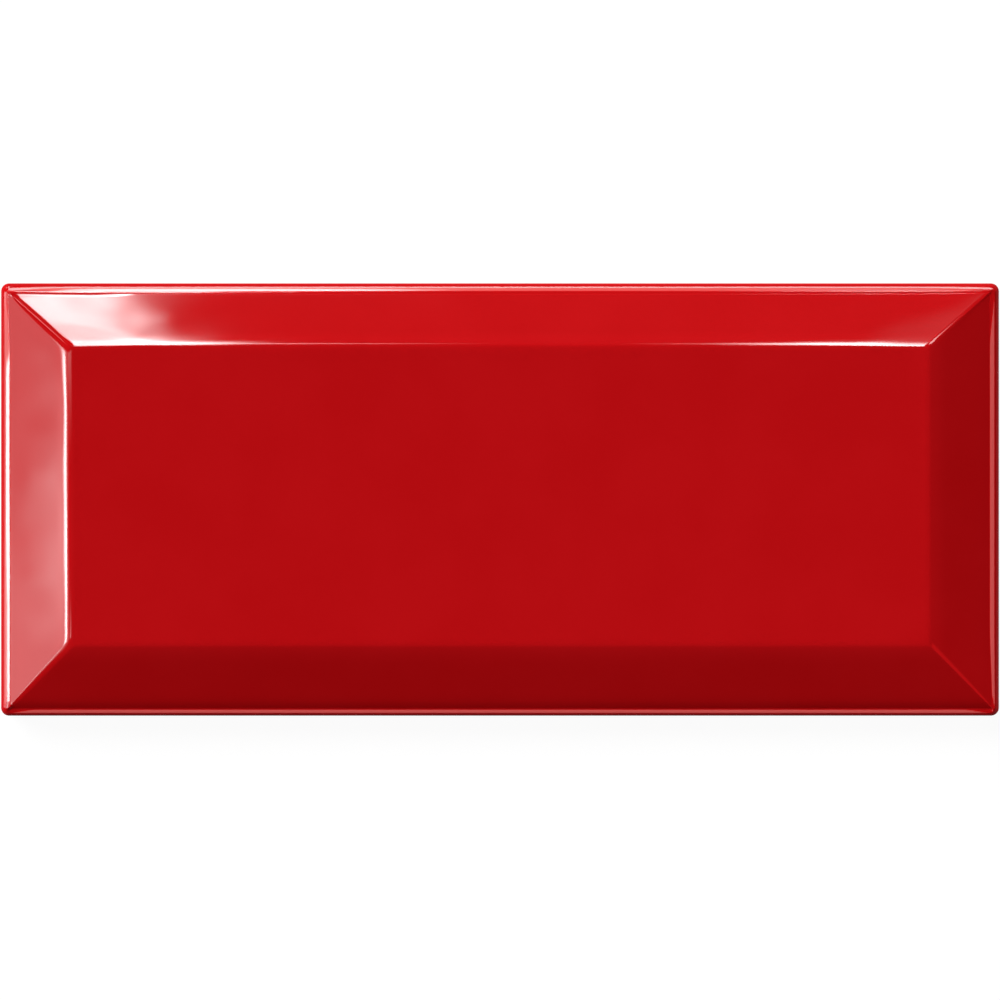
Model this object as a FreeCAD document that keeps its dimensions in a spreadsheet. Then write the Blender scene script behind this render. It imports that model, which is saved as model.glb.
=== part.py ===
# A bevelled ceramic wall tile in the long "subway" format, lying on its back with the glazed face up.
# It is pressed and fired in one piece: a slab with a raised field, bevels with mitred corners that
# fall to a narrow rounded lip, and keying grooves in the back that the adhesive grips.
# Millimetres. The origin is the centre of the back, +X runs along the tile, +Y up it as it is hung,
# and +Z out of the glazed face.

import FreeCAD
import Part
import Sketcher
import math
import os

from FreeCAD import Vector

DIMENSIONS = {
    # Outline
    "tile_length": 150.0,
    "tile_width": 65.0,
    "corner_radius": 1.2,
    # Heights above the plane that the back rests on
    "field_height": 8.0,
    "lip_height": 5.6,
    "crease_height": 5.4,
    # The lip: a rounded outer edge, a narrow crest, and a flank that falls to the crease
    "lip_radius": 0.85,
    "crest_width": 0.15,
    "crest_corner_radius": 0.5,
    "crest_softening": 0.3,
    "flank_width": 0.35,
    # The bevel, from the crease up to the ridge round the field
    "crease_corner_radius": 0.2,
    "crease_softening": 0.25,
    "bevel_width": 8.6,
    "end_bevel_width": 9.25,
    "field_offset": 0.55,
    "ridge_corner_radius": 0.9,
    "ridge_softening": 2.5,
    # The back
    "back_chamfer": 0.5,
    "back_border": 6.0,
    "groove_width": 5.0,
    "groove_depth": 0.7,
    "groove_draft": 30.0,
    "rib_width": 3.0,
}

# How far inside the outline each ring of the face lies
CREST_INSET = "(Params.lip_radius + Params.crest_width)"
CREASE_INSET = f"({CREST_INSET} + Params.flank_width)"
RIDGE_INSET = f"({CREASE_INSET} + Params.bevel_width)"
RIDGE_END_INSET = f"({CREASE_INSET} + Params.end_bevel_width)"

TOLERANCE = 1e-4

doc = FreeCAD.newDocument("WallTile")
sheet = doc.addObject("Spreadsheet::Sheet", "Params")
for row, (alias, value) in enumerate(DIMENSIONS.items(), start=1):
    sheet.set(f"A{row}", alias)
    sheet.set(f"B{row}", str(value))
    sheet.setAlias(f"B{row}", alias)
doc.recompute()

body = doc.addObject("PartDesign::Body", "Tile")
body.Label = "tile"
base_plane = next(f for f in body.Origin.OriginFeatures if f.Role == "XY_Plane")
y_axis = next(f for f in body.Origin.OriginFeatures if f.Role == "Y_Axis")


def number(expression):
    """The value of an expression of the sheet's dimensions."""
    return float(body.evalExpression(expression))


def new_sketch(name, height):
    """An empty sketch, level with the back, at a height above it."""
    sketch = body.newObject("Sketcher::SketchObject", name)
    sketch.AttachmentSupport = [(base_plane, "")]
    sketch.MapMode = "FlatFace"
    sketch.setExpression("AttachmentOffset.Base.z", height)
    return sketch


def tie(sketch, name, expression, *constraint):
    """Adds a dimension to a sketch and ties it to the sheet."""
    index = sketch.addConstraint(Sketcher.Constraint(*constraint, number(expression)))
    sketch.renameConstraint(index, name)
    sketch.setExpression(f"Constraints.{name}", expression)


def join(sketch, first, second):
    """Makes the second curve of a sketch start where the first one ends, and tangent to it."""
    sketch.addConstraint(Sketcher.Constraint("Tangent", first, 2, second, 1))


def from_origin(sketch, name, expression, direction, curve, point):
    """Ties how far a curve's point lies from the tile's centre, in "+X", "-X", "+Y" or "-Y"."""
    ends = (-1, 1, curve, point) if direction[0] == "+" else (curve, point, -1, 1)
    tie(sketch, name, expression, f"Distance{direction[1]}", *ends)


def rounded_rectangle(name, height, inset, radius, end_inset=None, shift="0"):
    """The tile's outline drawn in by inset, or by end_inset at its two ends, with round corners, and
    moved up the tile by shift."""
    sketch = new_sketch(name, height)
    reach_x = f"Params.tile_length / 2 - {end_inset or inset}"
    reach_up = f"Params.tile_width / 2 - {inset} + {shift}"
    reach_down = f"Params.tile_width / 2 - {inset} - {shift}"
    x, up, down, r = (number(e) for e in (reach_x, reach_up, reach_down, radius))
    corners = [(x, -down), (x, up), (-x, up), (-x, -down)]
    inward = [(-1, 1), (-1, -1), (1, -1), (1, 1)]
    sides, arcs = [], []
    for i, ((cx, cy), (ix, iy)) in enumerate(zip(corners, inward)):
        (px, py), (qx, qy) = corners[i - 1], (cx, cy)
        along = Vector(qx - px, qy - py, 0).normalize() * r
        sides.append(sketch.addGeometry(Part.LineSegment(Vector(px, py, 0) + along, Vector(qx, qy, 0) - along)))
        circle = Part.Circle(Vector(cx + ix * r, cy + iy * r, 0), Vector(0, 0, 1), r)
        turn = (i - 1) * math.pi / 2
        arcs.append(sketch.addGeometry(Part.ArcOfCircle(circle, turn, turn + math.pi / 2)))
    for i in range(4):
        join(sketch, sides[i], arcs[i])
        join(sketch, arcs[i], sides[(i + 1) % 4])
        if i:
            sketch.addConstraint(Sketcher.Constraint("Equal", arcs[0], arcs[i]))
    bottom, right, top, left = sides
    for side in (bottom, top):
        sketch.addConstraint(Sketcher.Constraint("Horizontal", side))
    for side in (right, left):
        sketch.addConstraint(Sketcher.Constraint("Vertical", side))
    tie(sketch, "radius", radius, "Radius", arcs[0])
    from_origin(sketch, "reach_right", reach_x, "+X", right, 1)
    from_origin(sketch, "reach_left", reach_x, "-X", left, 1)
    from_origin(sketch, "reach_up", reach_up, "+Y", top, 1)
    from_origin(sketch, "reach_down", reach_down, "-Y", bottom, 1)
    return sketch


def slot(name, height, length, width, centre_y):
    """A straight slot with round ends along the tile, centred on its middle line."""
    sketch = new_sketch(name, height)
    half, r, y = number(f"({length} - {width}) / 2"), number(f"{width} / 2"), number(centre_y)
    low = sketch.addGeometry(Part.LineSegment(Vector(-half, y - r, 0), Vector(half, y - r, 0)))
    high = sketch.addGeometry(Part.LineSegment(Vector(half, y + r, 0), Vector(-half, y + r, 0)))
    ends = []
    for x, first in ((half, -math.pi / 2), (-half, math.pi / 2)):
        circle = Part.Circle(Vector(x, y, 0), Vector(0, 0, 1), r)
        ends.append(sketch.addGeometry(Part.ArcOfCircle(circle, first, first + math.pi)))
    for first, second in ((low, ends[0]), (ends[0], high), (high, ends[1]), (ends[1], low)):
        join(sketch, first, second)
    sketch.addConstraint(Sketcher.Constraint("Horizontal", low))
    tie(sketch, "end_radius", f"{width} / 2", "Radius", ends[0])
    from_origin(sketch, "reach_right", f"({length} - {width}) / 2", "+X", ends[0], 3)
    from_origin(sketch, "reach_left", f"({length} - {width}) / 2", "-X", ends[1], 3)
    from_origin(sketch, "centre_y", centre_y, "+Y", ends[0], 3)
    return sketch


def ring(feature, height, on_outline=None):
    """The names of a feature's edges at a height, all round the tile: every one, or only those that
    are, or aren't, on its outline."""
    half_x, half_y = number("Params.tile_length / 2"), number("Params.tile_width / 2")
    names = []
    for i, edge in enumerate(feature.Shape.Edges, start=1):
        points = [vertex.Point for vertex in edge.Vertexes]
        if any(abs(p.z - height) > TOLERANCE for p in points):
            continue
        outer = all(min(half_x - abs(p.x), half_y - abs(p.y)) < TOLERANCE for p in points)
        if on_outline is None or outer == on_outline:
            names.append(f"Edge{i}")
    return names


def soften(name, base, edges, radius):
    """A fillet along the named edges of the last feature."""
    fillet = body.newObject("PartDesign::Fillet", name)
    fillet.Base = (base, edges)
    fillet.setExpression("Radius", radius)
    doc.recompute()
    return fillet


# The slab, up to the crest of the lip
outline = rounded_rectangle("Outline", "0", "0", "Params.corner_radius")
slab = body.newObject("PartDesign::Pad", "Slab")
slab.Profile = outline
slab.setExpression("Length", "Params.lip_height")
doc.recompute()

# The flank of the lip, which falls inwards from the crest to the crease
crest = rounded_rectangle("Crest", "Params.lip_height", CREST_INSET, "Params.crest_corner_radius")
crease = rounded_rectangle("Crease", "Params.crease_height", CREASE_INSET, "Params.crease_corner_radius")
flank = body.newObject("PartDesign::SubtractiveLoft", "Flank")
flank.Profile = crest
flank.Sections = [crease]
flank.Ruled = True
doc.recompute()

# The bevels and the raised field
ridge = rounded_rectangle("Ridge", "Params.field_height", RIDGE_INSET, "Params.ridge_corner_radius",
                          RIDGE_END_INSET, "Params.field_offset")
field = body.newObject("PartDesign::AdditiveLoft", "Field")
field.Profile = crease
field.Sections = [ridge]
field.Ruled = True
doc.recompute()

# The glaze softens every edge of the face
tip = soften("RidgeSoftening", field, ring(field, number("Params.field_height")), "Params.ridge_softening")
tip = soften("CreaseSoftening", tip, ring(tip, number("Params.crease_height")), "Params.crease_softening")
tip = soften("CrestSoftening", tip, ring(tip, number("Params.lip_height"), False), "Params.crest_softening")
tip = soften("LipRounding", tip, ring(tip, number("Params.lip_height"), True), "Params.lip_radius")

# The back: a small chamfer all round, and grooves along the tile inside a plain border
relief = body.newObject("PartDesign::Chamfer", "BackChamfer")
relief.Base = (tip, ring(tip, 0.0))
relief.setExpression("Size", "Params.back_chamfer")
doc.recompute()

GROOVED_WIDTH = "(Params.tile_width - 2 * Params.back_border)"
groove_outline = slot("GrooveOutline", "0", "(Params.tile_length - 2 * Params.back_border)",
                      "Params.groove_width", f"(Params.groove_width - {GROOVED_WIDTH}) / 2")
groove = body.newObject("PartDesign::Pocket", "Groove")
groove.Profile = groove_outline
groove.Reversed = True
groove.setExpression("Length", "Params.groove_depth")
groove.setExpression("TaperAngle", "-Params.groove_draft")
doc.recompute()

grooves = body.newObject("PartDesign::LinearPattern", "Grooves")
grooves.Originals = [groove]
grooves.Direction = (y_axis, [""])
grooves.Mode = "Extent"
grooves.setExpression("Length", f"{GROOVED_WIDTH} - Params.groove_width")
grooves.setExpression("Occurrences", f"floor(({GROOVED_WIDTH} + Params.rib_width)"
                                     " / (Params.groove_width + Params.rib_width))")
body.Tip = grooves
doc.recompute()

for item in doc.Objects:
    if {"Invalid", "Error"} & set(item.State):
        raise RuntimeError(f"{item.Name} failed: {item.State}")
if body.Shape.isNull() or not body.Shape.isValid() or len(body.Shape.Solids) != 1:
    raise RuntimeError("the tile isn't one valid solid")
for before, after in ((slab, flank), (relief, groove), (groove, grooves)):
    if after.Shape.Volume >= before.Shape.Volume:
        raise RuntimeError(f"{after.Name} cuts nothing")

os.makedirs("parts", exist_ok=True)
body.Shape.exportStep(f"parts/{body.Label}.step")
print(f"{body.Label}: {body.Shape.Volume / 1000:.2f} cm3, {len(body.Shape.Faces)} faces,"
      f" {grooves.Occurrences} grooves")
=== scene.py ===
import math

import bmesh
import bpy
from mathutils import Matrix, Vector, noise


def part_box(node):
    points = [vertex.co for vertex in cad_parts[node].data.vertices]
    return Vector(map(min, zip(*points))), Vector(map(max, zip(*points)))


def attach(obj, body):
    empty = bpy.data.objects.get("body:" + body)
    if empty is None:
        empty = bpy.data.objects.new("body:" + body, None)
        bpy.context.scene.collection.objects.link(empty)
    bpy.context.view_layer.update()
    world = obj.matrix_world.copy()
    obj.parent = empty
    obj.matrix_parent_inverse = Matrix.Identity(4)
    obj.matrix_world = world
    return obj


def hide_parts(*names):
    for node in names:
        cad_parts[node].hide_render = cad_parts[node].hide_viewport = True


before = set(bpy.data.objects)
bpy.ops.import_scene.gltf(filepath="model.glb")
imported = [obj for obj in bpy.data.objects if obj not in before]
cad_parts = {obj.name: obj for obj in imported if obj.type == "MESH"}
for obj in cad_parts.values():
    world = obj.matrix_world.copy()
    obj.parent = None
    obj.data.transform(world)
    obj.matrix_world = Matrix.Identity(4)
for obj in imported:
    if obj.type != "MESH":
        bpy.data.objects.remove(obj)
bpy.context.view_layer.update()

MM = 0.001

# Sizes, in millimetres
low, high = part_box("tile")
LENGTH = (high.x - low.x) / MM
WIDTH = (high.y - low.y) / MM
HEIGHT = (high.z - low.z) / MM

OUTLINE_CORNER = 1.2
# How far the crease's and the ridge's round corners reach along the side before and the side after
# them: lower left, lower right, upper right and upper left
CREASE_REACHES = ((0.30, 0.25), (0.15, 0.25), (0.25, 0.12), (0.20, 0.25))
RIDGE_REACHES = ((1.20, 0.90), (0.20, 1.30), (1.25, 0.15), (0.36, 1.40))
# How far those corners lie off the meeting of their sides, and how far along them that shows
CREASE_SHIFTS = ((0.0, 0.0), (0.35, 0.0), (0.0, 0.12), (-0.28, 0.15))
RIDGE_SHIFTS = ((0.0, 0.0), (0.0, 0.0), (0.0, -0.12), (-0.08, -0.16))
SHIFT_REACH = 12.0
# How far inside the outline the crease and the ridge run: bottom, right, top and left
CREASE_INSETS = (1.19, 1.50, 1.635, 1.46)
RIDGE_INSETS = (10.51, 10.60, 9.41, 10.57)
# The height of the crease on each of those sides
CREASE_HEIGHTS = (5.22, 5.38, 5.479, 5.44)
# How much higher it lies at the top side's left end, where glaze gathered
GATHERED = 0.06
# Where that rise and that end's own section begin, and how far to the left of that they are complete
RISING, TURNING = (-52.0, 10.0), (-5.0, 45.0)
# The height at which each side's bevel would meet the crease if it ran on straight, how far up the
# bevel its foot bends away from that, as a share of the bevel, and how quickly
BEVEL_FEET = ((5.40, 0.16, 2), (5.40, 0.16, 2), (5.479, 0.10, 3), (5.44, 0.16, 2))
FIELD_HEIGHT = HEIGHT - 0.02

# The lip's section on each side, as shares of the way from the outline to the crease and the slope
# outwards in degrees. The glaze ran as it melted, so it lies differently on each side.
LIP_SHARES = (0.0, 0.006, 0.03, 0.08, 0.13, 0.17, 0.21, 0.25, 0.29, 0.33, 0.37, 0.41, 0.45, 0.49, 0.53,
              0.57, 0.61, 0.66, 0.71, 0.737, 0.754, 0.79, 0.825, 0.86, 0.882, 0.91, 0.94, 0.97, 0.995, 1.0)
LIP_SLOPES = (
    # Bottom
    [(0.0, 70), (0.006, 43), (0.15, 41), (0.26, 32), (0.36, 17), (0.45, 5), (0.72, 1), (0.80, 3),
     (0.88, 12), (1.0, 22)],
    # Right
    [(0.0, 70), (0.006, 43), (0.15, 41), (0.28, 35), (0.42, 24), (0.52, 8), (0.65, 2), (0.90, -1),
     (0.96, 4), (1.0, 15)],
    # Top
    [(0.0, 70), (0.005, 43), (0.116, 41), (0.196, 37), (0.244, 30), (0.281, 27.6), (0.428, 24.4),
     (0.477, 23), (0.525, 21.8), (0.737, 19.5), (0.754, 4), (0.96, 4), (1.0, 6)],
    # Left
    [(0.0, 70), (0.005, 43), (0.136, 41), (0.235, 32), (0.307, 24), (0.385, 17.8), (0.46, 15.4),
     (0.52, 14.3), (0.56, 13.9), (0.94, 13.1), (0.965, 9), (1.0, 6)],
)
# The top side's section at its left end, where more glaze gathered
TOP_LEFT_SLOPES = [(0.0, 70), (0.005, 43), (0.116, 41), (0.196, 37), (0.244, 30), (0.281, 27.6),
                   (0.428, 24.4), (0.477, 22.5), (0.525, 21.3), (0.86, 19.5), (0.882, 4), (0.96, 4),
                   (1.0, 6)]

# The heights of the rings round the wall, below the lip
WALL_HEIGHTS = (0.5, 1.0, 1.6, 2.2, 2.8, 3.4, 3.9)

# Points round each ring: along the long sides, along the short ones, and round each corner
LONG_STEPS, SHORT_STEPS, CORNER_STEPS = 150, 66, 10
SIDE_STEPS = (LONG_STEPS, SHORT_STEPS, LONG_STEPS, SHORT_STEPS)
# How many slopes are averaged between two shares of a section
SLOPE_SAMPLES = 8

# The back's border and its keying grooves, with the points round each of their ends
BACK_BORDER = 6.0
GROOVES, GROOVE_PITCH, GROOVE_WIDTH, GROOVE_DEPTH = 7, 8.0, 5.0, 0.7
GROOVE_END_STEPS = 14
# The back's chamfered edge, as how far inside the outline and how high, and a groove's section, as
# how far outside the groove's outline and how high
BACK_EDGE = ((0.06, 0.40), (0.42, 0.04), (0.52, 0.0), (0.9, 0.0))
GROOVE_SECTION = ((0.35, 0.0), (0.06, 0.0), (-0.02, 0.03), (-0.08, 0.12), (-0.30, 0.50), (-0.37, 0.61),
                  (-0.47, 0.67), (-0.62, GROOVE_DEPTH))
# The smallest corner radius on the back
SMALLEST_CORNER = 0.3


# Shapes

def smooth(t):
    """Eases from 0 to 1 as t does."""
    t = min(max(t, 0.0), 1.0)
    return t * t * (3 - 2 * t)


def rounded_ring(insets, reaches, shifts=((0.0, 0.0),) * 4):
    """The outline drawn in by the insets of its bottom, right, top and left sides. Its corners are
    quarters of ellipses with the given reaches, and lie off by the shifts. Gives (x, y, turn)
    anticlockwise from the middle of the lower left corner; turn counts the sides."""
    bottom, right, top, left = insets
    x0, x1 = left - LENGTH / 2, LENGTH / 2 - right
    y0, y1 = bottom - WIDTH / 2, WIDTH / 2 - top
    corners = [(x0, y0), (x1, y0), (x1, y1), (x0, y1)]
    ways = [(1, 0), (0, 1), (-1, 0), (0, -1)]

    def on_corner(number, share):
        (cx, cy), (before, after) = corners[number % 4], reaches[number % 4]
        (bx, by), (ax, ay) = ways[(number - 1) % 4], ways[number % 4]
        p = before * (1 - math.sin(share * math.pi / 2))
        q = after * (1 - math.cos(share * math.pi / 2))
        return cx - bx * p + ax * q, cy - by * p + ay * q

    half = CORNER_STEPS // 2
    points = []
    for side in range(4):
        (sx, sy), (tx, ty) = shifts[side], shifts[(side + 1) % 4]
        for step in range(half):
            share = 0.5 + step / CORNER_STEPS
            x, y = on_corner(side, share)
            points.append((x + sx, y + sy, side - 1 + share))
        (x, y), (ex, ey) = on_corner(side, 1.0), on_corner(side + 1, 0.0)
        span = abs(ex - x) + abs(ey - y)
        for step in range(SIDE_STEPS[side]):
            t = step / SIDE_STEPS[side]
            near, far = (1 - smooth(d * span / SHIFT_REACH) for d in (t, 1 - t))
            points.append((x + (ex - x) * t + sx * near + tx * far,
                           y + (ey - y) * t + sy * near + ty * far, side))
        for step in range(half):
            share = step / CORNER_STEPS
            x, y = on_corner(side + 1, share)
            points.append((x + tx, y + ty, side + share))
    return points


def plain_ring(inset, corner):
    """The outline drawn in evenly, with equal round corners."""
    return rounded_ring((inset,) * 4, ((corner, corner),) * 4)


def between(starts, ends, share):
    """Pairs of numbers a share of the way from one list of pairs to another."""
    return [tuple(a + (b - a) * share for a, b in zip(start, end)) for start, end in zip(starts, ends)]


def by_side(turn, values):
    """The value of the side that a point is on, eased into its neighbour's round the corners."""
    side = math.floor(turn)
    share = smooth(turn - side)
    return values[side % 4] * (1 - share) + values[(side + 1) % 4] * share


def at(knots, share):
    """The value between knots of (share, value)."""
    for (a, start), (b, end) in zip(knots, knots[1:]):
        if share <= b:
            return start + (end - start) * (share - a) / (b - a)
    return knots[-1][1]


def climb(knots, shares, width, steepness):
    """Heights at the shares of a section of a given width, from the slopes that its knots give."""
    heights = [0.0]
    for a, b in zip(shares, shares[1:]):
        middles = [a + (b - a) * (i + 0.5) / SLOPE_SAMPLES for i in range(SLOPE_SAMPLES)]
        rise = sum(steepness(at(knots, middle)) for middle in middles) / SLOPE_SAMPLES
        heights.append(heights[-1] + rise * (b - a) * width)
    return heights


# The bevel's slope, against its mean, on the way from the crease to the ridge: barely domed, then
# eased over the ridge into the field
BEVEL_SLOPES = [(0.0, 1.03), (0.50, 1.01), (0.80, 0.985), (0.872, 0.96), (0.905, 0.93), (0.94, 0.89),
                (0.966, 0.84), (0.994, 0.66), (1.013, 0.36), (1.032, 0.21), (1.06, 0.10), (1.10, 0.0)]
# The bevel's rings, from the crease to a little past the ridge
BEVEL_SHARES = (0.0, 0.0015, 0.006, 0.014, 0.024, 0.036, 0.05, 0.07, 0.095, 0.13, 0.18, 0.24, 0.30, 0.36,
                0.42, 0.48, 0.54, 0.60, 0.66, 0.72, 0.77, 0.81, 0.845, 0.872, 0.89, 0.905, 0.922, 0.94,
                0.954, 0.966, 0.976, 0.985, 0.994, 1.0, 1.006, 1.013, 1.021, 1.032, 1.045, 1.06, 1.08, 1.10)

# How deep the glaze's undulations are on the bevels and on the field, and how many quads in from the
# field's edge they have their full depth there
BEVEL_SWELL, FIELD_SWELL = 0.020, 0.012
SWELL_FROM = 8
# Their waves: how long they are along and across the tile, and where in the noise they start
BROAD_WAVES = (15.0, 9.0, 3.7, 1.3)
NARROW_WAVES = (7.0, 5.0, 0.0, 8.1)
FIELD_WAVES = (34.0, 26.0, 0.0, 5.5)


def waves(x, y, along, across, start, depth):
    """Smooth noise from about -1 to 1."""
    return noise.noise(Vector((x / along + start, y / across, depth)))


def glaze_swell(x, y, share):
    """How far the glaze lies below its mean height on the bevel, in mm: long soft undulations, and
    none at the crease or over the ridge."""
    fade = smooth(share / 0.4) * smooth((0.96 - share) / 0.36)
    if fade == 0:
        return 0.0
    return BEVEL_SWELL * fade * (waves(x, y, *BROAD_WAVES) + 0.5 * waves(x, y, *NARROW_WAVES))


# The name under which the mesh keeps, at each vertex, how much paler the glaze is: thin glaze, painted
# light and a painted sheen
THIN_AND_LIT_LAYER = "thin_glaze_and_painted_light"
# Between which shares of the lip the crest is painted paler and pinker, as thin glaze and a painted sheen
# together, and how much: bottom, right, top and left
THIN_AND_SHEEN_LIPS = ((0.30, 0.79, 1.0), (0.45, 0.96, 1.0), (0.34, 0.763, 0.75), (0.36, 0.90, 0.9))
# By how much less of the lip that is at its ends, and how far from its left or lower end, and from
# its right or upper one, that shows
NARROWING = 0.44
NARROWING_REACHES = ((4.5, 4.5), (2.5, 9.0), (4.5, 4.5), (4.5, 4.5))
# How much lighter the glaze is painted along each side's crease: painted light against the crease's shade
LIT_CREASES = (0.0, 0.0, 0.20, 0.15)


def thin_and_lit_on_lip(x, y, turn, share):
    """How much paler the glaze is at a point of the lip, from 0 to 1: thin glaze with a painted sheen on
    its crest, and painted light along the crease."""
    side = round(turn) % 4
    along, half = (y, WIDTH / 2) if side % 2 else (x, LENGTH / 2)
    to_corner = half - abs(along)
    reach = NARROWING_REACHES[side][along > 0]
    outer, inner, most = THIN_AND_SHEEN_LIPS[side]
    inner -= NARROWING * (1 - smooth((to_corner - 0.8) / reach))
    on_crest = most * smooth((share - outer) / 0.09) * smooth((inner - share) / 0.07)
    return max(on_crest, by_side(turn, LIT_CREASES) * smooth((share - 0.70) / 0.06))


# How much lighter the glaze is painted along the hips between the bevels, as a painted line of light: lower
# left, lower right, upper right and upper left
LIT_HIPS = (0.05, 0.36, 0.05, 0.05)


def lit_on_bevel(turn, share):
    """How much lighter the glaze is painted at a point of the bevels, from 0 to 1: a painted line of light
    on a hip, and painted light at their foot.
    """
    side = math.floor(turn)
    round_hip = turn - side
    edge = smooth((round_hip - 0.20) / 0.25) * smooth((1.0 - round_hip) / 0.42)
    on_hip = LIT_HIPS[(side + 1) % 4] * edge * smooth((1.0 - share) / 0.06)
    return max(on_hip, by_side(turn, LIT_CREASES) * (1 - smooth(share / 0.02)))


def field_swell(x, y):
    """How far the field lies below its full height, in mm."""
    return FIELD_SWELL * (1.0 + waves(x, y, *FIELD_WAVES)) / 2


def to_the_left(x, start, reach):
    """How far a change has come at x, from 0 at start to 1 at a given reach to the left of it."""
    return smooth((start - x) / reach)


def rings_of_face():
    """Every ring of the glazed side, from the back's edge up the wall and in to the field, as points of (x,
    y, height, how much paler the glaze is: thin glaze, painted light and a painted sheen)."""
    sections = zip((*LIP_SLOPES, TOP_LEFT_SLOPES), (*CREASE_INSETS, CREASE_INSETS[2]))
    *lips, left_end = [climb(knots, LIP_SHARES, inset, lambda slope: math.tan(math.radians(slope)))
                       for knots, inset in sections]
    rises = climb(BEVEL_SLOPES, BEVEL_SHARES, 1.0, float)
    rings = []
    for height in WALL_HEIGHTS:
        rings.append([(x, y, height, 0.0) for x, y, _ in plain_ring(0.0, OUTLINE_CORNER)])
    for i, share in enumerate(LIP_SHARES):
        insets = [inset * share for inset in CREASE_INSETS]
        reaches = between(((OUTLINE_CORNER,) * 2,) * 4, CREASE_REACHES, smooth(share / 0.85))
        shifts = between(((0.0, 0.0),) * 4, CREASE_SHIFTS, smooth((share - 0.3) / 0.7))
        bottom, right, top, left = (crease - lip[-1] + lip[i] for crease, lip in zip(CREASE_HEIGHTS, lips))
        top_left = CREASE_HEIGHTS[2] - left_end[-1] + left_end[i]
        ring = []
        for x, y, turn in rounded_ring(insets, reaches, shifts):
            here = top + (top_left - top) * to_the_left(x, *TURNING) + GATHERED * to_the_left(x, *RISING)
            ring.append((x, y, by_side(turn, (bottom, right, here, left)), thin_and_lit_on_lip(x, y, turn, share)))
        rings.append(ring)
    for share, rise in zip(BEVEL_SHARES[1:], rises[1:]):
        insets = [crease + (ridge - crease) * share for crease, ridge in zip(CREASE_INSETS, RIDGE_INSETS)]
        reaches = between(CREASE_REACHES, RIDGE_REACHES, math.sqrt(share))
        shifts = between(CREASE_SHIFTS, RIDGE_SHIFTS, share)
        feet = [max(1 - share / reach, 0) ** power for _, reach, power in BEVEL_FEET]
        bottom, right, top, left = (
            start + (FIELD_HEIGHT - start) * rise / rises[-1] + (crease - start) * foot
            for crease, foot, (start, _, _) in zip(CREASE_HEIGHTS, feet, BEVEL_FEET))
        ring = []
        for x, y, turn in rounded_ring(insets, reaches, shifts):
            here = top + GATHERED * feet[2] * to_the_left(x, *RISING)
            height = by_side(turn, (bottom, right, here, left)) - glaze_swell(x, y, share)
            ring.append((x, y, height, lit_on_bevel(turn, share)))
        rings.append(ring)
    return rings


def quarters(ring):
    """A ring's bottom, right, top and left chains of points, each from corner to corner."""
    chains, start = [], 0
    for steps in SIDE_STEPS:
        count = steps + CORNER_STEPS
        chains.append([ring[(start + i) % len(ring)] for i in range(count + 1)])
        start += count
    return chains


def add_field(bm, edge_verts):
    """Fills the last ring with an even grid of quads for the flat field."""
    bottom, right, top, left = quarters(edge_verts)
    top, left = top[::-1], left[::-1]
    columns, rows = len(bottom) - 1, len(right) - 1
    grid = [[None] * (columns + 1) for _ in range(rows + 1)]
    for j in range(rows + 1):
        for i in range(columns + 1):
            if j == 0:
                grid[j][i] = bottom[i]
            elif j == rows:
                grid[j][i] = top[i]
            elif i == 0:
                grid[j][i] = left[j]
            elif i == columns:
                grid[j][i] = right[j]
            else:
                u, v = i / columns, j / rows
                across = left[j].co.lerp(right[j].co, u)
                along = bottom[i].co.lerp(top[i].co, v)
                low_edge = bottom[0].co.lerp(bottom[-1].co, u)
                high_edge = top[0].co.lerp(top[-1].co, u)
                spot = across + along - low_edge.lerp(high_edge, v)
                edge = min(i, j, columns - i, rows - j)
                spot.z -= field_swell(spot.x / MM, spot.y / MM) * MM * smooth(edge / SWELL_FROM)
                grid[j][i] = bm.verts.new(spot)
    for j in range(rows):
        for i in range(columns):
            bm.faces.new((grid[j][i], grid[j][i + 1], grid[j + 1][i + 1], grid[j + 1][i]))


def stadium(length, width, centre_y):
    """A slot's outline along X, anticlockwise."""
    reach, radius = (length - width) / 2, width / 2
    points = []
    for centre, first in ((reach, -90), (-reach, 90)):
        for step in range(GROOVE_END_STEPS + 1):
            turn = math.radians(first + 180 * step / GROOVE_END_STEPS)
            points.append((centre + radius * math.cos(turn), centre_y + radius * math.sin(turn)))
    return points


def loop_of(bm, points, height):
    """New vertices at points in millimetres."""
    return [bm.verts.new((x * MM, y * MM, height * MM)) for x, y in points]


def bridge(bm, lower, upper):
    """Quads between two loops with as many points."""
    count = len(lower)
    for i in range(count):
        j = (i + 1) % count
        bm.faces.new((lower[i], lower[j], upper[j], upper[i]))


def edges_round(bm, loop):
    """The edges of a loop of vertices."""
    return [bm.edges.get((a, b)) or bm.edges.new((a, b)) for a, b in zip(loop, loop[1:] + loop[:1])]


def add_back(bm, wall_foot):
    """The chamfer, the flat border and ribs, and the keying grooves pressed into the back."""
    outer = wall_foot
    for inset, height in BACK_EDGE:
        corner = max(OUTLINE_CORNER - inset, SMALLEST_CORNER)
        ring = loop_of(bm, [(x, y) for x, y, _ in plain_ring(inset, corner)], height)
        bridge(bm, ring, outer)
        outer = ring
    flat_edges = edges_round(bm, outer)
    for number in range(GROOVES):
        centre_y = (number - (GROOVES - 1) / 2) * GROOVE_PITCH
        outer = None
        for grow, height in GROOVE_SECTION:
            length = LENGTH - 2 * BACK_BORDER + 2 * grow
            inner = loop_of(bm, stadium(length, GROOVE_WIDTH + 2 * grow, centre_y), height)
            if outer:
                bridge(bm, inner, outer)
            else:
                flat_edges += edges_round(bm, inner)
            outer = inner
        bm.faces.new(outer[::-1])
    bmesh.ops.triangle_fill(bm, use_beauty=True, use_dissolve=False, edges=flat_edges, normal=(0, 0, -1))


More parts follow.
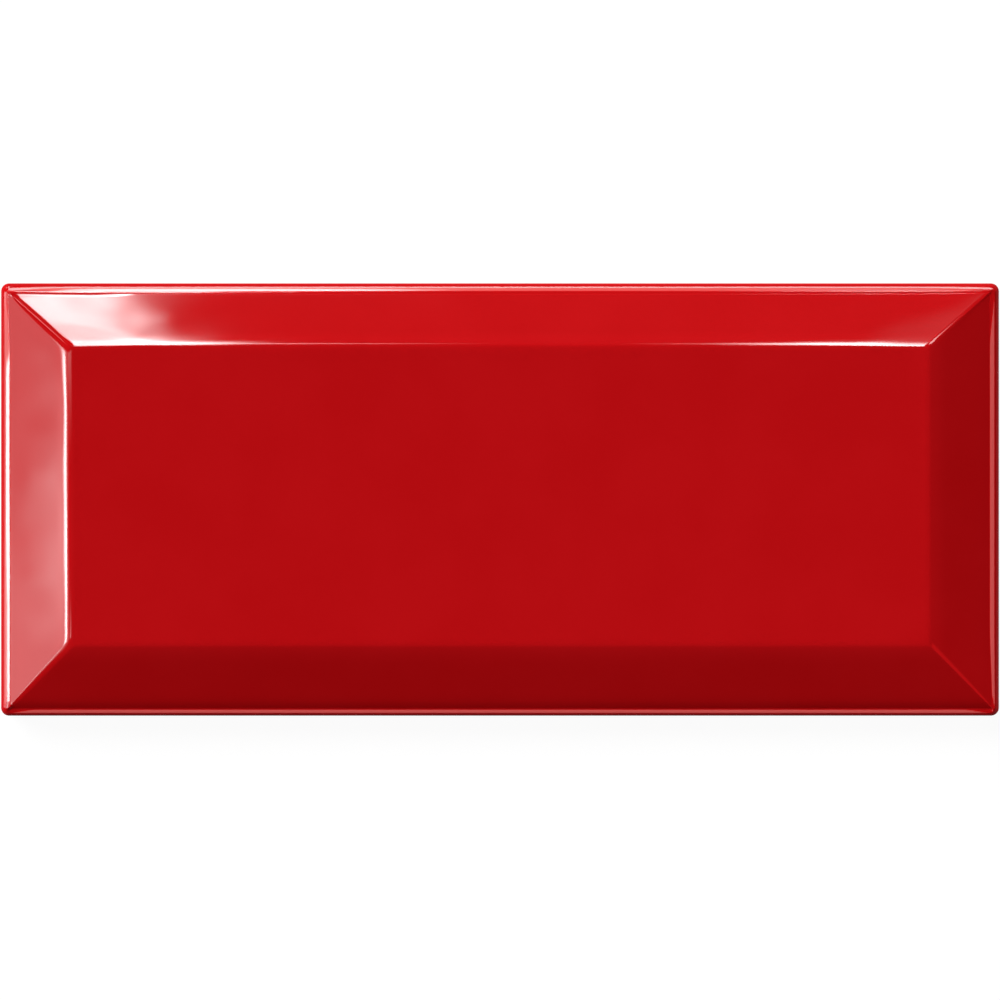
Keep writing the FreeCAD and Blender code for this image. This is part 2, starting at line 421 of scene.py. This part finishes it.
def make_tile(material):
    """The tile as one closed mesh."""
    bm = bmesh.new()
    thin_and_lit = bm.verts.layers.float.new(THIN_AND_LIT_LAYER)
    rings = []
    for ring in rings_of_face():
        rings.append([bm.verts.new((x * MM, y * MM, z * MM)) for x, y, z, _ in ring])
        # Each vertex keeps how much paler its glaze is: thin glaze, painted light and a painted sheen
        for vert, (_, _, _, how_thin_and_lit) in zip(rings[-1], ring):
            vert[thin_and_lit] = how_thin_and_lit
    for lower, upper in zip(rings, rings[1:]):
        bridge(bm, lower, upper)
    add_field(bm, rings[-1])
    add_back(bm, rings[0])
    bmesh.ops.recalc_face_normals(bm, faces=bm.faces)
    mesh = bpy.data.meshes.new("glazed_tile")
    bm.to_mesh(mesh)
    bm.free()
    mesh.polygons.foreach_set("use_smooth", [True] * len(mesh.polygons))
    mesh.materials.append(material)
    piece = bpy.data.objects.new("glazed_tile", mesh)
    bpy.context.scene.collection.objects.link(piece)
    return piece


# Materials

# Two tones each of the glaze on the bevels, of the slightly brighter glaze on the field, and of the
# bare body
BEVEL_GLAZE = ((0.449, 0.0033, 0.0048), (0.462, 0.0039, 0.0056))
FIELD_GLAZE = ((0.478, 0.0040, 0.0058), (0.492, 0.0046, 0.0066))
BISCUIT = ((0.50, 0.42, 0.33), (0.66, 0.59, 0.49))
# The paler glaze, partly thin glaze and partly painted light, the level at which it is reached, and the
# pink of the thinnest glaze with a painted sheen
THIN_AND_LIT_GLAZE, THIN_AND_LIT_LEVEL, THINNEST_GLAZE_AND_SHEEN = (0.66, 0.007, 0.009), 0.36, (0.66, 0.086, 0.081)
BISCUIT_ROUGHNESS, GLAZE_ROUGHNESS, GLAZE_IOR = 0.85, 0.035, 1.5
# In metres: the heights between which the bevels' glaze turns into the field's, those between which
# the glaze begins on the wall, and how far that line wanders up and down
FIELD_GLAZE_HEIGHTS, GLAZE_START, GLAZE_WANDER = (0.0072, 0.0078), (0.0013, 0.0015), 0.0022


def feed(tree, socket, value):
    """Sets a socket to a number or a colour, or links it to another node's output."""
    if isinstance(value, (int, float)):
        socket.default_value = value
    elif isinstance(value, tuple):
        socket.default_value = (*value, 1.0)
    else:
        tree.links.new(value, socket)


def math_node(tree, operation, *values):
    """A sum or another operation on one, two or three values."""
    node = tree.nodes.new("ShaderNodeMath")
    node.operation = operation
    for socket, value in zip(node.inputs, values):
        feed(tree, socket, value)
    return node.outputs[0]


def ease_node(tree, value, start, end, low_value=0.0, high_value=1.0):
    """Smoothly from low_value at start to high_value at end."""
    node = tree.nodes.new("ShaderNodeMapRange")
    node.interpolation_type = "SMOOTHSTEP"
    for label, given in (("Value", value), ("From Min", start), ("From Max", end),
                         ("To Min", low_value), ("To Max", high_value)):
        feed(tree, node.inputs[label], given)
    return node.outputs["Result"]


def noise_node(tree, place, scale, detail, roughness=0.5):
    """Noise from 0 to 1, with its scale per metre."""
    node = tree.nodes.new("ShaderNodeTexNoise")
    for label, value in (("Vector", place), ("Scale", scale), ("Detail", detail), ("Roughness", roughness)):
        feed(tree, node.inputs[label], value)
    return node.outputs["Fac"]


def mix_colors(tree, factor, a, b):
    """The colour a where the factor is 0, and b where it is 1."""
    node = tree.nodes.new("ShaderNodeMix")
    node.data_type = "RGBA"
    for socket, value in ((node.inputs["Factor"], factor), (node.inputs[6], a), (node.inputs[7], b)):
        feed(tree, socket, value)
    return node.outputs[2]


def new_material(name):
    """A material with an empty node tree, and the input that its shader goes to."""
    material = bpy.data.materials.new(name)
    material.use_nodes = True
    tree = material.node_tree
    tree.nodes.clear()
    return material, tree, tree.nodes.new("ShaderNodeOutputMaterial").inputs["Surface"]


def diffuse(tree, grey):
    """A matt grey shader."""
    node = tree.nodes.new("ShaderNodeBsdfDiffuse")
    feed(tree, node.inputs["Color"], (grey, grey, grey))
    return node.outputs[0]


def tile_material():
    """Red gloss glaze over the face and down the edges, and bare biscuit on the back."""
    material, tree, surface = new_material("red_glaze_on_biscuit")
    shader = tree.nodes.new("ShaderNodeBsdfPrincipled")
    tree.links.new(shader.outputs[0], surface)
    place = tree.nodes.new("ShaderNodeTexCoord").outputs["Object"]
    split = tree.nodes.new("ShaderNodeSeparateXYZ")
    tree.links.new(place, split.inputs[0])
    height = split.outputs["Z"]
    ragged = noise_node(tree, place, 260.0, 4.0)
    wander = math_node(tree, "MULTIPLY_ADD", ragged, GLAZE_WANDER, -GLAZE_WANDER / 2)
    glazed = ease_node(tree, math_node(tree, "ADD", height, wander), *GLAZE_START)
    grain = ease_node(tree, noise_node(tree, place, 1400.0, 6.0, 0.7), 0.35, 0.7)
    patches = ease_node(tree, noise_node(tree, place, 90.0, 3.0), 0.3, 0.7)
    biscuit = mix_colors(tree, grain, *BISCUIT)
    on_bevel = mix_colors(tree, patches, *BEVEL_GLAZE)
    on_field = mix_colors(tree, patches, *FIELD_GLAZE)
    full = mix_colors(tree, ease_node(tree, height, *FIELD_GLAZE_HEIGHTS), on_bevel, on_field)
    attribute = tree.nodes.new("ShaderNodeAttribute")
    attribute.attribute_name = THIN_AND_LIT_LAYER
    thin_and_lit = attribute.outputs["Fac"]
    # Paler and pinker where the mesh's layer says: thin glaze on the lip's crest with a painted sheen, and
    # painted light along the creases and hips
    lighter = mix_colors(tree, ease_node(tree, thin_and_lit, 0.0, THIN_AND_LIT_LEVEL), full, THIN_AND_LIT_GLAZE)
    glaze = mix_colors(tree, ease_node(tree, thin_and_lit, THIN_AND_LIT_LEVEL, 1.0), lighter, THINNEST_GLAZE_AND_SHEEN)
    tree.links.new(mix_colors(tree, glazed, biscuit, glaze), shader.inputs["Base Color"])
    roughness = ease_node(tree, glazed, 0.0, 1.0, BISCUIT_ROUGHNESS, GLAZE_ROUGHNESS)
    tree.links.new(roughness, shader.inputs["Roughness"])
    shader.inputs["IOR"].default_value = GLAZE_IOR
    return material


# The floor: how much light it bounces, how much of the tile's shadow it shows, and its own white
FLOOR_BOUNCE, FLOOR_SHADED, FLOOR_LIT = 0.8, 0.08, 0.95


def floor_material():
    """Shows white behind the tile, with the tile's faint shadow, and bounces light as pale paper does."""
    material, tree, surface = new_material("pale_floor")
    lit = tree.nodes.new("ShaderNodeEmission")
    lit.inputs["Strength"].default_value = FLOOR_LIT
    seen = tree.nodes.new("ShaderNodeAddShader")
    tree.links.new(diffuse(tree, FLOOR_SHADED), seen.inputs[0])
    tree.links.new(lit.outputs[0], seen.inputs[1])
    rays = tree.nodes.new("ShaderNodeLightPath")
    direct = math_node(tree, "MAXIMUM", rays.outputs["Is Camera Ray"], rays.outputs["Is Glossy Ray"])
    direct = math_node(tree, "MAXIMUM", direct, rays.outputs["Is Transmission Ray"])
    choose = tree.nodes.new("ShaderNodeMixShader")
    tree.links.new(direct, choose.inputs[0])
    tree.links.new(diffuse(tree, FLOOR_BOUNCE), choose.inputs[1])
    tree.links.new(seen.outputs[0], choose.inputs[2])
    tree.links.new(choose.outputs[0], surface)
    return material


# Studio

# Light panels that the glaze mirrors, on a plane one unit above the tile: centre, half size, softness
# of the edges, and brightness
PANELS = [
    # Tall window, upper left, with its thin end on the right
    ((-0.097, 0.526), (0.027, 0.134), (0.007, 0.006), 16.0),
    ((-0.098, 0.672), (0.0115, 0.039), (0.014, 0.020), 25.0),
    ((-0.100, 0.708), (0.008, 0.025), (0.006, 0.020), 21.0),
    ((-0.0925, 0.592), (0.0155, 0.084), (0.020, 0.025), 31.0),
    ((-0.065, 0.600), (0.023, 0.010), (0.044, 0.028), 27.0),
    # The haze on the right of its top
    ((-0.0925, 0.731), (0.0105, 0.012), (0.007, 0.027), 6.5),
    # The paler glass above it, brighter towards its top, and streaks beside it
    ((-0.128, 0.787), (0.0215, 0.128), (0.008, 0.0115), 15.4),
    ((-0.130, 0.830), (0.0275, 0.093), (0.005, 0.0115), 8.3),
    ((-0.1005, 0.776), (0.0085, 0.021), (0.0075, 0.032), 6.5),
    ((-0.1165, 0.809), (0.010, 0.024), (0.009, 0.017), 6.3),
    ((-0.113, 0.7465), (0.019, 0.036), (0.015, 0.011), 4.3),
    # Its light on the wall above
    ((-0.083, 0.94), (0.049, 0.09), (0.025, 0.04), 25.0),
    # Low window, upper right, with its thin end on the left
    ((0.093, 0.486), (0.014, 0.169), (0.0065, 0.031), 21.0),
    ((0.086, 0.518), (0.0205, 0.112), (0.0145, 0.0415), 22.5),
    ((0.092, 0.600), (0.034, 0.025), (0.029, 0.004), 7.5),
    ((0.077, 0.555), (0.007, 0.039), (0.040, 0.005), 9.6),
    # The haze round it
    ((0.109, 0.680), (0.022, 0.004), (0.003, 0.044), 2.1),
    ((0.161, 0.736), (0.052, 0.035), (0.017, 0.024), 0.65),
    ((0.120, 0.96), (0.035, 0.09), (0.030, 0.04), 2.5),
    # Long strip above, and the wall that it lights, brighter on the left
    ((0.29, 1.37), (0.59, 0.12), (0.09, 0.05), 14.0),
    ((-0.20, 1.12), (0.21, 0.20), (0.10, 0.06), 1.6),
    ((0.0, 1.12), (1.0, 0.20), (0.3, 0.06), 0.4),
    ((0.0, 0.90), (1.2, 0.25), (0.3, 0.15), 0.07),
    # Bright strip on the left, in two lengths, and its dim upper end
    ((-0.640, -0.032), (0.020, 0.026), (0.012, 0.014), 30.0),
    ((-0.657, 0.013), (0.018, 0.028), (0.022, 0.014), 36.0),
    ((-0.650, 0.054), (0.030, 0.013), (0.020, 0.008), 6.0),
    # The haze beside it
    ((-0.712, -0.006), (0.026, 0.020), (0.064, 0.021), 6.0),
    # Broad dim card on the left, brighter below
    ((-1.02, -0.051), (0.45, 0.119), (0.054, 0.010), 2.35),
    ((-0.99, -0.117), (0.488, 0.101), (0.067, 0.012), 1.72),
    # Two dim cards beyond the strip's ends
    ((-0.37, 0.043), (0.165, 0.020), (0.042, 0.012), 2.4),
    ((-0.30, -0.036), (0.072, 0.008), (0.034, 0.006), 4.5),
    # Cards that the lip's upper left corner mirrors
    ((-0.95, 1.05), (0.20, 0.40), (0.12, 0.15), 9.0),
    ((-0.50, 1.60), (0.20, 0.13), (0.08, 0.06), 9.0),
    ((-1.09, 0.11), (0.25, 0.045), (0.06, 0.012), 7.0),
    # Small lamps that draw a line along three of the hips
    ((-0.53, 0.255), (0.045, 0.045), (0.030, 0.030), 8.0),
    ((0.188, 0.56), (0.022, 0.065), (0.012, 0.020), 12.0),
    ((-0.635, -0.13), (0.030, 0.040), (0.025, 0.025), 7.0),
]
PANEL_SOCKETS = ("Centre U", "Centre V", "Half U", "Half V", "Soft U", "Soft V")
# The least upward part that a direction counts with, the glow at the horizon and the upward parts
# between which it rises, and the light from all round
LEAST_UP, HORIZON, HORIZON_RISE, AMBIENT = 0.02, 0.3, (0.45, 0.05), 0.05


def panel_group():
    """How much of a soft-edged panel lies in a direction."""
    group = bpy.data.node_groups.new("light_panel", "ShaderNodeTree")
    for label in ("U", "V", *PANEL_SOCKETS):
        group.interface.new_socket(label, in_out="INPUT", socket_type="NodeSocketFloat")
    group.interface.new_socket("Mask", in_out="OUTPUT", socket_type="NodeSocketFloat")
    given = group.nodes.new("NodeGroupInput").outputs
    masks = []
    for axis in ("U", "V"):
        half, soft = given[f"Half {axis}"], given[f"Soft {axis}"]
        offset = math_node(group, "SUBTRACT", given[axis], given[f"Centre {axis}"])
        inner = math_node(group, "SUBTRACT", half, soft)
        outer = math_node(group, "ADD", half, soft)
        masks.append(ease_node(group, math_node(group, "ABSOLUTE", offset), inner, outer, 1.0, 0.0))
    out = group.nodes.new("NodeGroupOutput")
    group.links.new(math_node(group, "MULTIPLY", *masks), out.inputs["Mask"])
    return group


def make_world():
    """A dim studio with light panels for the glaze, white to the camera."""
    world = bpy.data.worlds.new("studio")
    bpy.context.scene.world = world
    world.use_nodes = True
    tree = world.node_tree
    tree.nodes.clear()
    direction = tree.nodes.new("ShaderNodeSeparateXYZ")
    tree.links.new(tree.nodes.new("ShaderNodeTexCoord").outputs["Generated"], direction.inputs[0])
    up = math_node(tree, "MAXIMUM", direction.outputs["Z"], LEAST_UP)
    u = math_node(tree, "DIVIDE", direction.outputs["X"], up)
    v = math_node(tree, "DIVIDE", direction.outputs["Y"], up)
    group = panel_group()
    total = None
    for centre, half, soft, strength in PANELS:
        panel = tree.nodes.new("ShaderNodeGroup")
        panel.node_tree = group
        tree.links.new(u, panel.inputs["U"])
        tree.links.new(v, panel.inputs["V"])
        for label, value in zip(PANEL_SOCKETS, (*centre, *half, *soft)):
            panel.inputs[label].default_value = value
        light = math_node(tree, "MULTIPLY", panel.outputs["Mask"], strength)
        total = light if total is None else math_node(tree, "ADD", total, light)
    rays = tree.nodes.new("ShaderNodeLightPath")
    total = math_node(tree, "MULTIPLY", total, rays.outputs["Is Glossy Ray"])
    horizon = ease_node(tree, direction.outputs["Z"], *HORIZON_RISE, 0.0, HORIZON)
    ambient = math_node(tree, "SUBTRACT", 1.0, rays.outputs["Is Glossy Ray"])
    ambient = math_node(tree, "MULTIPLY", ambient, AMBIENT)
    sky = math_node(tree, "MULTIPLY", horizon, rays.outputs["Is Glossy Ray"])
    total = math_node(tree, "ADD", total, math_node(tree, "ADD", sky, ambient))
    direct = math_node(tree, "MAXIMUM", rays.outputs["Is Camera Ray"], rays.outputs["Is Transmission Ray"])
    total = math_node(tree, "MAXIMUM", total, direct)
    shade = tree.nodes.new("ShaderNodeBackground")
    tree.links.new(total, shade.inputs["Strength"])
    output = tree.nodes.new("ShaderNodeOutputWorld")
    tree.links.new(shade.outputs[0], output.inputs["Surface"])


# Each lamp's name, the direction that it shines from, its strength and its softness in degrees
SUNS = (
    ("key", (-1.02, 1.10, 0.765), 5.95, 52.0),
    ("right_fill", (1.0, 0.1, 0.05), 1.5, 20.0),
    ("left_fill", (-1.0, 0.0, 0.05), 1.4, 20.0),
)


def add_sun(name, towards, strength, softness):
    """A soft lamp far away, which lights the glaze's colour and isn't mirrored by it."""
    lamp = bpy.data.lights.new(name, "SUN")
    lamp.energy = strength
    lamp.angle = math.radians(softness)
    sun = bpy.data.objects.new(name, lamp)
    sun.rotation_euler = Vector(towards).to_track_quat("Z", "Y").to_euler()
    sun.visible_glossy = False
    bpy.context.scene.collection.objects.link(sun)


def add_camera():
    """Straight above the tile, as the photograph is taken."""
    data = bpy.data.cameras.new("camera")
    camera = bpy.data.objects.new("camera", data)
    bpy.context.scene.collection.objects.link(camera)
    distance, below_centre = 0.70, 0.000075
    # The width that the picture shows at the height of the lip's edge
    shown_width, edge_height = 0.15036, 0.0047
    camera.location = (0.0, -below_centre, distance)
    data.sensor_width = 36.0
    data.lens = data.sensor_width * (distance - edge_height) / shown_width
    data.clip_start, data.clip_end = 0.01, 50.0
    bpy.context.scene.camera = camera


def add_floor():
    """A wide floor, level with the tile's back."""
    bpy.ops.mesh.primitive_plane_add(size=6.0, location=(0, 0, 0))
    floor = bpy.context.object
    floor.name = "floor"
    floor.data.materials.append(floor_material())


tile = make_tile(tile_material())
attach(tile, "root")
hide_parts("tile")

add_floor()
add_camera()
make_world()
for settings in SUNS:
    add_sun(*settings)
bpy.context.scene.view_settings.view_transform = "Standard"
